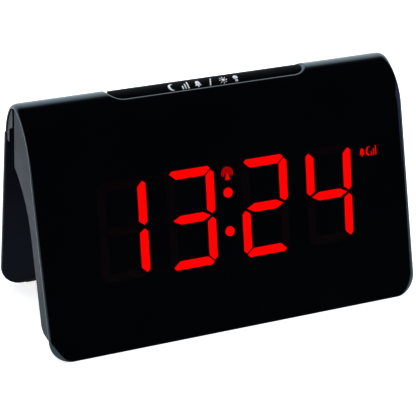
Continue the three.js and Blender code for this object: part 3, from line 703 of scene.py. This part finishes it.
footDepth = legFace(leg["lift"], leg["thickness"] / 2)


def closeSlits(piece):
    # fills the slits, a few edges long, that a union leaves between nearly flush faces
    shape = bmesh.new()
    shape.from_mesh(piece.data)
    bmesh.ops.holes_fill(shape, edges=[e for e in shape.edges if e.is_boundary], sides=4)
    bmesh.ops.recalc_face_normals(shape, faces=shape.faces)
    shape.to_mesh(piece.data)
    shape.free()


def makeLeg():
    thick, gap = leg["thickness"], clock["gap"]
    plate = drawn([(legFace(0, 0), 0), (legFace(leg["top"], 0), leg["top"]),
                   (legFace(leg["top"], thick), leg["top"]), (legFace(0, thick), 0)],
                  "x", -clockHalf, clockHalf)
    combine(plate, "INTERSECT", drawn(
        roundedBox(-clockHalf, leg["lift"], clockHalf, 2 * farAway, clock["corner"],
                   leg["cornerSteps"]), "y", 0, farAway))
    softened(plate, leg["edge"], 3)
    neck = foldEnd.x - underneath - thick
    top = leg["top"]
    line = [(leg["rootFront"], farAway), (leg["rootFront"], leg["rootUnder"]),
            (neck, leg["rootUnder"] - thick), (neck, top - thick),
            (legFace(top, thick / 2), top - thick), (legFace(top, thick / 2), top),
            (foldEnd.x - underneath, top), (foldEnd.x - underneath, farAway)]
    for side in (-1, 1):
        low, high = sorted((side * leg["rootInner"], side * housing["half"]))
        upper = combine(drawn(line, "x", low, high), "INTERSECT",
                        underSkin(underneath, low - 1, high + 1))
        under = combine(drawn(line, "x", low, high), "INTERSECT",
                        block((low - 1, 0, 0), (high + 1, farAway, top)))
        combine(plate, "UNION", softened(upper, leg["rootEdge"], 2), under)
    for x in (-foot["offset"], foot["offset"]):
        reach = foot["x"] / 2 + gap
        combine(plate, "DIFFERENCE", block(
            (x - reach, footDepth - thick, -1),
            (x + reach, footDepth + thick, foot["z"] + gap)))
    for x, height in legScrews:
        combine(plate, "DIFFERENCE", drawn(
            ring(screwHole, (x, height)), "y", leg["rootFront"] - 1,
            leg["rootFront"] + leg["screwReach"]))
    closeSlits(plate)
    return toScene(plate, "stand_leg", "satinBlackAbs", "case", ["rear_leg"])


def makePad(side, x):
    # a rubber pad with rounded edges and two grip grooves across it
    pad = block((x - foot["x"] / 2, footDepth - foot["y"] / 2, 0),
                (x + foot["x"] / 2, footDepth + foot["y"] / 2, foot["z"]))
    softened(pad, foot["edge"], 3)
    for place in (x - foot["grooveAt"], x + foot["grooveAt"]):
        combine(pad, "DIFFERENCE", block(
            (place - foot["grooveHalf"], 0, -1),
            (place + foot["grooveHalf"], farAway, foot["grooveDeep"])))
    return toScene(pad, f"grip_pad_{side}", "mouldedRubber", "case",
                   [f"leg_foot_{side}"])


makeLeg()
makePad("left", -foot["offset"])
makePad("right", foot["offset"])
print("leg made")


# The snooze bar and its printed marks
bar = {"half": 37, "radius": 4.5, "depth": 41.2, "drop": 0.3, "crown": 7.5,
       "crownHeight": 80.2, "skirt": 71.8, "wall": 1.5, "flange": 1.2, "edge": 0.5,
       "crownSteps": 28, "flangeThick": 1, "postX": 20, "post": 1.5, "postBottom": 74,
       "endSlack": 0.01}


def barPlan(grow):
    return roundedBox(-bar["half"] - grow, bar["depth"] - bar["radius"] - grow,
                      bar["half"] + grow, bar["depth"] + bar["radius"] + grow,
                      bar["radius"] + grow - bar["endSlack"], 20)


def crownOutline(inset):
    radius = bar["crown"] - inset
    halfWidth = bar["radius"] - (inset if inset > 0 else 0)
    middle = bar["crownHeight"] - bar["crown"]
    edge = acos(halfWidth / radius)
    points = [(bar["depth"] + halfWidth, 0)]
    for i in range(bar["crownSteps"] + 1):
        angle = edge + (pi - 2 * edge) * i / bar["crownSteps"]
        points.append((bar["depth"] + radius * cos(angle), middle + radius * sin(angle)))
    return points + [(bar["depth"] - halfWidth, 0)]


def barBody(wall):
    half = bar["half"] - wall
    body = drawn(crownOutline(wall), "x", -half, half)
    combine(body, "INTERSECT", underSkin(bar["drop"] + wall, -half - 1, half + 1))
    return combine(body, "INTERSECT", drawn(
        barPlan(-wall), "z", -1 if wall else bar["skirt"], farAway))


def makeBar():
    body = softened(barBody(0), bar["edge"], 4, 30)
    flange = drawn(barPlan(bar["flange"]), "z", bar["skirt"],
                   bar["skirt"] + bar["flangeThick"])
    combine(flange, "INTERSECT", block(
        (-farAway, 0, 0), (farAway, bar["depth"] + bar["radius"], farAway)))
    combine(body, "UNION", flange)
    combine(body, "DIFFERENCE", barBody(bar["wall"]))
    for x in (-bar["postX"], bar["postX"]):
        combine(body, "UNION", drawn(ring(bar["post"], (x, bar["depth"])), "z",
                                     bar["postBottom"], bar["crownHeight"] - bar["wall"]))
    return toScene(body, "snooze_key", "mattKeytopAbs", "snooze",
                   ["snooze_bar"])


def arc(wide, high, start, end, step, centre=(0, 0)):
    return [(centre[0] + wide * cos(radians(a)), centre[1] + high * sin(radians(a)))
            for a in range(start, end, step)]


def oblong(left, low, right, high):
    return [(left, low), (right, low), (right, high), (left, high)]


# plain pictograms, one unit from their middle to their tip
stroke = 0.17 / 0.95
minus = oblong(-1, -stroke, 1, stroke)
spoke = [(0.62, 0.09), (1, 0.09), (1, -0.09), (0.62, -0.09)]
pictograms = {
    "crescent": [arc(1, 1, 62, 299, 12) + arc(0.88, 0.88, 264, 91, -12, (0.45, 0))],
    "sun": [ring(0.42, steps=20)] + [
        [(x * cos(a) - y * sin(a), x * sin(a) + y * cos(a)) for x, y in spoke]
        for a in (pi / 4 * i for i in range(8))],
    "bell": [arc(0.55, 0.6, 0, 181, 20, (0, 0.2))
             + [(-0.6, -0.35), (-0.85, -0.6), (0.85, -0.6), (0.6, -0.35)],
             ring(0.2, (0, -0.8), 12)],
    "level": [oblong(x - 0.16, -1, x + 0.16, top)
              for x, top in ((-0.7, -0.1), (0, 0.45), (0.7, 1))],
    "slash": [[(-0.5, -1), (-0.2, -1), (0.5, 1), (0.2, 1)]],
    "lamp": [arc(0.62, 0.62, -50, 231, 20, (0, 0.3)), oblong(-0.35, -0.9, 0.35, -0.4)],
    "minus": [minus],
    "plus": [minus, oblong(-stroke, stroke, stroke, 1), oblong(-stroke, -1, stroke, -stroke)],
}


def placed(name, size, x, up, stretch=1):
    return [[(x + a * size * stretch, up + b * size) for a, b in outline]
            for outline in pictograms[name]]


legend = {"marks": ["crescent", "level", "bell", "slash", "sun", "lamp"], "size": 1.5,
          "pitch": 4.9, "x": -1.7, "depth": 38.6, "proud": 0.05, "sunk": 0.15, "reach": 1.4}


def makeLegend():
    # the marks are cut out of a thin layer that lies on the bar's crown
    pitch = legend["pitch"]
    start = legend["x"] - pitch * (len(legend["marks"]) - 1) / 2
    prints = []
    for index, name in enumerate(legend["marks"]):
        x = start + pitch * index
        for outline in placed(name, legend["size"], x, legend["depth"]):
            shape = drawn(outline, "z", bar["crownHeight"] - legend["reach"], farAway)
            combine(shape, "INTERSECT", drawn(
                crownOutline(-legend["proud"]), "x", x - pitch, x + pitch))
            prints.append(combine(shape, "DIFFERENCE", drawn(
                crownOutline(legend["sunk"]), "x", x - 2 * pitch, x + 2 * pitch)))
    return toScene(gathered(prints), "snooze_marks", "screenPrintedInk", "snooze")


makeBar()
makeLegend()
print("snooze bar made")


# The lit time, its colon, the radio icon and the small icons beside it
display = {"middle": 42.7, "pitch": 25.7, "colonPitch": 28.4, "shift": -0.9, "slant": 2.4,
           "half": 9, "halfHeight": 17.5, "stroke": 3.05, "gap": 0.34, "tip": 1.15,
           "nib": 0.95, "dot": 1.75, "dotPitch": 13.8,
           "litProud": 0.04, "unlitProud": 0.02, "sunk": 0.3}
digits = {"hour_tens": ("bc", -1.5), "hour_ones": ("abcdg", -0.5),
          "minute_tens": ("abdeg", 0.5), "minute_ones": ("bcfg", 1.5)}


def segmentOutlines():
    # strokes with bevelled tips, about the digit's middle
    w, h, s = (display[k] for k in ("half", "halfHeight", "stroke"))
    tip, nib, gap = display["tip"], display["nib"], display["gap"]
    inner = w - s - nib
    shapes = {"g": [(-w + 2 * nib, 0), (tip - inner - gap, s / 2), (inner + gap - tip, s / 2),
                    (w - 2 * nib, 0), (inner + gap - tip, -s / 2), (tip - inner - gap, -s / 2)]}
    for name, way in (("a", 1), ("d", -1)):
        shapes[name] = [(nib + gap - w, way * (h - nib)), (2 * nib + gap - w, way * h),
                        (w - 2 * nib - gap, way * h), (w - nib - gap, way * (h - nib)),
                        (inner + gap, way * (h - s)), (-inner - gap, way * (h - s))]
    for name, side, way in (("b", 1, 1), ("c", 1, -1), ("f", -1, 1), ("e", -1, -1)):
        shapes[name] = [(side * (w - s), way * (h - s - gap)),
                        (side * (w - tip), way * (h - tip - gap)),
                        (side * w, way * (h - tip - nib - gap)),
                        (side * w, way * (tip + 2 * gap)), (side * (w - tip), way * gap * 2),
                        (side * (w - s), way * (s / 2 + gap * 1.5))]
    return shapes


def slanted(x, up):
    return (x + up * tan(radians(display["slant"])), display["middle"] + up)


def inlay(outlines, proud):
    # flat shapes let into the front face
    return leaned(gathered([drawn(outline, "y", -proud, display["sunk"])
                            for outline in outlines]))


def digitMiddle(step):
    side = 1 if step > 0 else -1
    outer = display["pitch"] if abs(step) > 1 else 0
    return display["shift"] + side * (display["colonPitch"] / 2 + outer)


def makeDigits():
    shapes = segmentOutlines()
    for name, (lit, step) in digits.items():
        x = digitMiddle(step)
        groups = {True: [], False: []}
        for key, outline in shapes.items():
            groups[key in lit].append([slanted(x + across, up) for across, up in outline])
        toScene(inlay(groups[True], display["litProud"]), f"lit_{name}", "litSegment", "case")
        toScene(inlay(groups[False], display["unlitProud"]), f"unlit_{name}",
                "unlitSegmentInk", "case")
    dots = [ring(display["dot"], slanted(display["shift"], way * display["dotPitch"] / 2), 28)
            for way in (-1, 1)]
    toScene(inlay(dots, display["litProud"]), "lit_colon", "litSegment", "case")


def arcBand(centre, radius, width, start, end, steps=12):
    angles = [radians(start + (end - start) * i / steps) for i in range(steps + 1)]
    sides = ((radius + width / 2, angles), (radius - width / 2, angles[::-1]))
    return [(centre[0] + reach * cos(a), centre[1] + reach * sin(a))
            for reach, turns in sides for a in turns]


radioIcon = {"x": -0.3, "up": 56.6, "waves": (0.85, 1.45, 2.05), "line": 0.24, "sweep": 35,
             "mast": [(-0.2, 0.3), (-0.95, -2.5), (0.95, -2.5), (0.2, 0.3)]}
smallIcons = {"places": {"bell": 53.4, "crescent": 56.2, "level": 58.1}, "up": 56.1,
              "size": 1.7, "narrow": 0.75}


def makeRadioIcon():
    # a mast under three domed waves
    x, up, sweep = radioIcon["x"], radioIcon["up"], radioIcon["sweep"]
    shapes = [arcBand((x, up), radius, radioIcon["line"], -sweep, 180 + sweep)
              for radius in radioIcon["waves"]]
    shapes.append([(x + a, up + b) for a, b in radioIcon["mast"]])
    toScene(inlay(shapes, display["litProud"]), "lit_radio_icon", "litIcon", "case")


def makeSmallIcons():
    shapes = []
    for name, x in smallIcons["places"].items():
        shapes += placed(name, smallIcons["size"], x, smallIcons["up"], smallIcons["narrow"])
    toScene(inlay(shapes, display["litProud"]), "lit_small_icons", "litIcon", "case")


makeDigits()
makeRadioIcon()
makeSmallIcons()
print("display made")


# Setting buttons, slider, drawer, screws and inlet on the rear
key = {"edge": 0.35, "dishHalf": 2.9, "dishUp": 1.3, "dishCorner": 1.1, "dishDeep": 0.15,
       "markSize": 0.95, "markLow": 0.25, "markHigh": 0.12,
       "marks": {"mode": "sun", "alarm_one": "bell", "alarm_two": "crescent",
                 "minus": "minus", "plus": "plus"}}
knob = {"edge": 0.25, "flange": 1, "grooveHalf": 0.2, "grooveDeep": 0.3, "grooves": (-1, 0, 1)}
screw = {"head": 2, "tall": 1.4, "edge": 0.45, "shank": 0.8, "shankEnd": 2.5, "overlap": 0.3,
         "crossLong": 1.25, "crossHalf": 0.22, "crossLow": 0.45}
can = {"thick": 3.2, "under": 0.1, "edge": 0.35, "grooveOuter": 8.6, "grooveInner": 8.2,
       "grooveDeep": 0.2}


def makeButtons():
    up = setting["up"]
    for index, name in enumerate(setting["names"]):
        x = settingX(index)
        cap = drawn(capOutline(x, setting["width"], setting["height"], 0),
                    "y", flangeFront, capRear)
        softened(leaned(cap), key["edge"], 3)
        # a shallow dish in the keytop for the finger
        dish = roundedBox(x - key["dishHalf"], up - key["dishUp"], x + key["dishHalf"],
                          up + key["dishUp"], key["dishCorner"], 5)
        combine(cap, "DIFFERENCE",
                leaned(drawn(dish, "y", capRear - key["dishDeep"], capRear + 1)))
        combine(cap, "UNION", leaned(drawn(
            capOutline(x, setting["width"], setting["height"], setting["flange"]),
            "y", flangeFront, flangeRear)))
        toScene(cap, f"{name}_keytop", "mattKeytopAbs", name,
                [f"{name}_button"])
        # seen from behind, so the mark is mirrored in x
        mark, *others = [
            drawn(outline, "y", capRear - key["markLow"], capRear - key["markHigh"])
            for outline in placed(key["marks"][name], key["markSize"], x, up, -1)]
        combine(mark, "UNION", *others)
        toScene(leaned(mark), f"{name}_mark", "screenPrintedInk", name)


def makeSlider():
    body = drawn(capOutline(slider["x"], slider["width"], slider["height"], 0),
                 "y", flangeFront, capRear)
    softened(leaned(body), knob["edge"], 3)
    combine(body, "UNION", leaned(drawn(capOutline(
        slider["x"], slider["width"] + 2 * slider["travel"], slider["height"],
        knob["flange"]), "y", flangeFront, flangeRear)))
    for place in knob["grooves"]:
        x = slider["x"] + place
        combine(body, "DIFFERENCE", leaned(block(
            (x - knob["grooveHalf"], capRear - knob["grooveDeep"], setting["up"] - 3),
            (x + knob["grooveHalf"], capRear + 1, setting["up"] + 3))))
    toScene(body, "alarm_slide_knob", "mattKeytopAbs", "slider",
            ["alarm_slider"])


def makeScrew(place, x, up):
    # a pan head with a cross recess, on its shank
    seat = headSeat + clock["gap"]
    top = seat + screw["tall"]
    head = softened(drawn(ring(screw["head"], (x, up), 40), "y", seat, top), screw["edge"], 4)
    combine(head, "UNION", drawn(ring(screw["shank"], (x, up), 20), "y", screw["shankEnd"],
                                 seat + screw["overlap"]))
    long, thin = screw["crossLong"], screw["crossHalf"]
    for wide, high in ((long, thin), (thin, long)):
        combine(head, "DIFFERENCE", block(
            (x - wide, seat + screw["tall"] * screw["crossLow"], up - high),
            (x + wide, top + 1, up + high)))
    toScene(leaned(head), f"case_screw_head_{place}", "zincPlatedSteel", "case",
            [f"case_screw_{place}"])


def makeDrawer():
    low, high = tray["low"], tray["low"] + tray["height"]
    front, rear = tray["front"], tray["front"] + tray["thickness"]
    inner, grip = housing["half"] - tray["length"], tray["grip"]
    centre = (inner + tray["height"] / 2 + tray["lip"], low + tray["height"] / 2)
    piece = softened(block((inner, front, low), (housing["half"], rear, high)),
                     tray["edge"], 3)
    hold = softened(block(
        (housing["half"] - grip, front + grip, centre[1] - tray["gripHalf"]),
        (housing["half"] + grip, rear - grip, centre[1] + tray["gripHalf"])), tray["edge"], 3)
    combine(piece, "DIFFERENCE",
            drawn(ring(tray["cell"] + clock["gap"], centre, 72), "y", front + tray["lip"],
                  rear + 1),
            drawn(ring(tray["cell"] - tray["shelf"], centre, 72), "y", 0, rear), hold)
    toScene(leaned(piece), "cell_drawer", "mouldedNylon", "tray",
            ["cell_tray"])
    # the backup cell: a can with a rolled edge and a raised cap
    canRear = rear - can["under"]
    canFront = canRear - can["thick"]
    cell = softened(drawn(ring(tray["cell"], centre, 72), "y", canFront, canRear),
                    can["edge"], 4)
    groove = combine(
        drawn(ring(can["grooveOuter"], centre, 72), "y", 0, canFront + can["grooveDeep"]),
        "DIFFERENCE", drawn(ring(can["grooveInner"], centre, 72), "y", -1, farAway))
    combine(cell, "DIFFERENCE", groove)
    toScene(leaned(cell), "backup_cell", "brushedNickelSteel", "tray",
            ["coin_cell"])


def makeInlet():
    centre = (jack["x"], jack["depth"] + jack["across"] / 2)
    low, high = jack["bottom"], jack["bottom"] + jack["tall"]
    body = softened(block((jack["x"] - jack["width"] / 2, jack["depth"], low),
                          (jack["x"] + jack["width"] / 2, jack["depth"] + jack["across"],
                           high)), jack["edge"], 3)
    combine(body, "DIFFERENCE",
            drawn(ring(jack["bore"], centre, 48), "z", low - 1, high - jack["back"]))
    combine(body, "UNION", softened(
        drawn(ring(jack["pin"], centre, 24), "z", low + 1, high - jack["back"] + 1),
        jack["pinEdge"], 3))
    toScene(body, "inlet_socket", "mouldedNylon", "case", ["power_inlet"])


makeButtons()
makeSlider()
for place, (x, up) in caseScrews.items():
    makeScrew(place, x, up)
makeDrawer()
makeInlet()
print("rear details made")

# Better materials for the pieces that keep their CAD shape
carried = {
    "mouldedNylon": ["snooze_guide", "snooze_switch_left", "snooze_switch_right",
                     "cell_rail_top", "cell_rail_bottom", "aerial_clip_left",
                     "aerial_clip_right", "sounder"]
                    + [f"{name}_switch" for name in setting["names"]],
    "solderMask": ["snooze_board", "display_board", "main_board"],
    "castRedAcrylic": ["colon_insert", "indicator_insert"]
                      + [f"digit_{name}" for name in digits],
    "whitePolystyrene": ["display_frame"],
    "mouldedEpoxy": ["controller_chip"],
    "brushedNickelSteel": ["clock_crystal", "alarm_slide_switch"],
    "stampedBrass": ["cell_contact_front", "cell_contact_rear"],
    "sinteredFerrite": ["aerial_rod"],
    "woundCopper": ["aerial_coil"],
    "zincPlatedSteel": [f"leg_screw_{i}" for i in (1, 2, 3, 4)],
}
for finish, names in carried.items():
    for name in names:
        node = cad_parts[name]
        node.data.materials.clear()
        node.data.materials.append(made[finish])
print("CAD pieces finished:", sum(len(names) for names in carried.values()))

# Floor, light and camera
studio = {
    "floor": 1.6, "floorGlow": 0.85, "glowAt": (0.05, 0.12, 0),
    "skyRear": 2.0, "skyFront": 0.015, "sweepTop": 38, "sweepFades": 66,
    "glowLong": 0.42, "glowWide": 0.13, "glowFade": 0.5, "glowLow": 0.12,
    "azimuth": 25.37, "elevation": 28.55, "roll": 3.0, "distance": 620, "lens": 155.6,
    "aim": (0, 0, 45), "slideX": 14.20, "slideY": -3.52,
    # place, aim, size, watts, colour, and whether shiny things mirror it
    "lamps": {
        "overheadSoftbox": ((0.1, 0.25, 0.9), (0, 0, 0), (0.9, 0.6), 9, "f2f8ff", False),
        "sideSoftbox": ((0.44, -0.235, 0.2), (0.07, 0, 0.05), (0.34, 0.24), 0.24, "c8c4ff",
                        True),
    },
}


def makeFloor():
    half = studio["floor"] / 2
    mesh = bpy.data.meshes.new("paperFloor")
    shaper = bmesh.new()
    bmesh.ops.create_grid(shaper, x_segments=2, y_segments=2, size=half)
    shaper.to_mesh(mesh)
    shaper.free()
    floor = bpy.data.objects.new("paper_floor", mesh)
    floor.location.z = -0.02 * mm
    bpy.context.scene.collection.objects.link(floor)
    # matt white paper lit from below, as on a light table
    material, tree, place = newMaterial("whitePaper")
    fibres = addNode(tree, "ShaderNodeTexNoise", {"Scale": 1 / (1.5 * mm), "Detail": 3.0},
                     {"Vector": place})
    tone = twoTone(tree, (fibres, 0), "f2f3f4", "f7f7f7")
    # the panel underneath is a long oval, so the glow fades towards the sides
    oval = addNode(tree, "ShaderNodeMapping", {
        "vector_type": "TEXTURE", "Rotation": (0, 0, -radians(studio["azimuth"])),
        "Location": studio["glowAt"],
        "Scale": (studio["glowWide"], studio["glowLong"], 1)}, {"Vector": place})
    reach = addNode(tree, "ShaderNodeVectorMath", {"operation": "LENGTH"},
                    {"Vector": (oval, 0)})
    glow = addNode(tree, "ShaderNodeMapRange", {
        "interpolation_type": "SMOOTHSTEP", "From Min": 1, "From Max": 1 + studio["glowFade"],
        "To Min": studio["floorGlow"], "To Max": studio["glowLow"]}, {"Value": (reach, 1)})
    shader = addNode(tree, "ShaderNodeBsdfPrincipled", {
        "Roughness": 0.9, "Specular IOR Level": 0.1, "Emission Color": linear("ffffff")},
        {"Base Color": (tone, 0), "Emission Strength": (glow, 0)})
    finishMaterial(tree, shader)
    mesh.materials.append(material)


def makeSky():
    # a bright sweep behind the clock, which fades out overhead; dark in front
    world = bpy.data.worlds.new("softDome")
    bpy.context.scene.world = world
    world.use_nodes = True
    tree = world.node_tree
    tree.nodes.clear()
    place = addNode(tree, "ShaderNodeTexCoord")
    parts = addNode(tree, "ShaderNodeSeparateXYZ", links={"Vector": (place, "Generated")})
    rise = addNode(tree, "ShaderNodeMath", {"operation": "ARCTAN2"},
                   {0: (parts, 2), 1: (parts, 1)})
    light = addNode(tree, "ShaderNodeMapRange", {
        "interpolation_type": "SMOOTHSTEP",
        "From Min": radians(studio["sweepFades"]), "From Max": radians(studio["sweepTop"]),
        "To Min": studio["skyFront"], "To Max": studio["skyRear"]}, {"Value": (rise, 0)})
    back = addNode(tree, "ShaderNodeBackground", {"Color": linear("dcebf5")},
                   {"Strength": (light, 0)})
    addNode(tree, "ShaderNodeOutputWorld", links={"Surface": (back, 0)})


def makeLamp(name, place, aim, size, power, colour, mirrored):
    data = bpy.data.lights.new(name, "AREA")
    data.shape, data.size, data.size_y = "RECTANGLE", size[0], size[1]
    data.energy = power
    data.color = linear(colour)[:3]
    lamp = bpy.data.objects.new(name, data)
    lamp.location = place
    lamp.visible_glossy = mirrored
    lamp.rotation_euler = (Vector(aim) - Vector(place)).to_track_quat("-Z", "Y").to_euler()
    bpy.context.scene.collection.objects.link(lamp)


def makeCamera():
    azimuth, elevation, roll = (radians(studio[k]) for k in ("azimuth", "elevation", "roll"))
    back = Vector((-sin(azimuth) * cos(elevation), -cos(azimuth) * cos(elevation),
                   sin(elevation)))
    level = Vector((cos(azimuth), -sin(azimuth), 0))
    upright = back.cross(level)
    right = cos(roll) * level + sin(roll) * upright
    up = cos(roll) * upright - sin(roll) * level
    spot = (Vector(studio["aim"]) - studio["slideX"] * right - studio["slideY"] * up
            + studio["distance"] * back)
    spot.y -= clockDepth / 2
    data = bpy.data.cameras.new("studioCamera")
    data.lens, data.sensor_width = studio["lens"], 36
    data.clip_start, data.clip_end = 0.05, 20
    camera = bpy.data.objects.new("studioCamera", data)
    turn = Matrix((right, up, back)).transposed().to_4x4()
    camera.matrix_world = Matrix.Translation(spot * mm) @ turn
    bpy.context.scene.collection.objects.link(camera)
    bpy.context.scene.camera = camera


makeFloor()
makeSky()
for name, look in studio["lamps"].items():
    makeLamp(name, *look)
makeCamera()
bpy.context.scene.view_settings.view_transform = "Standard"
print("studio made")
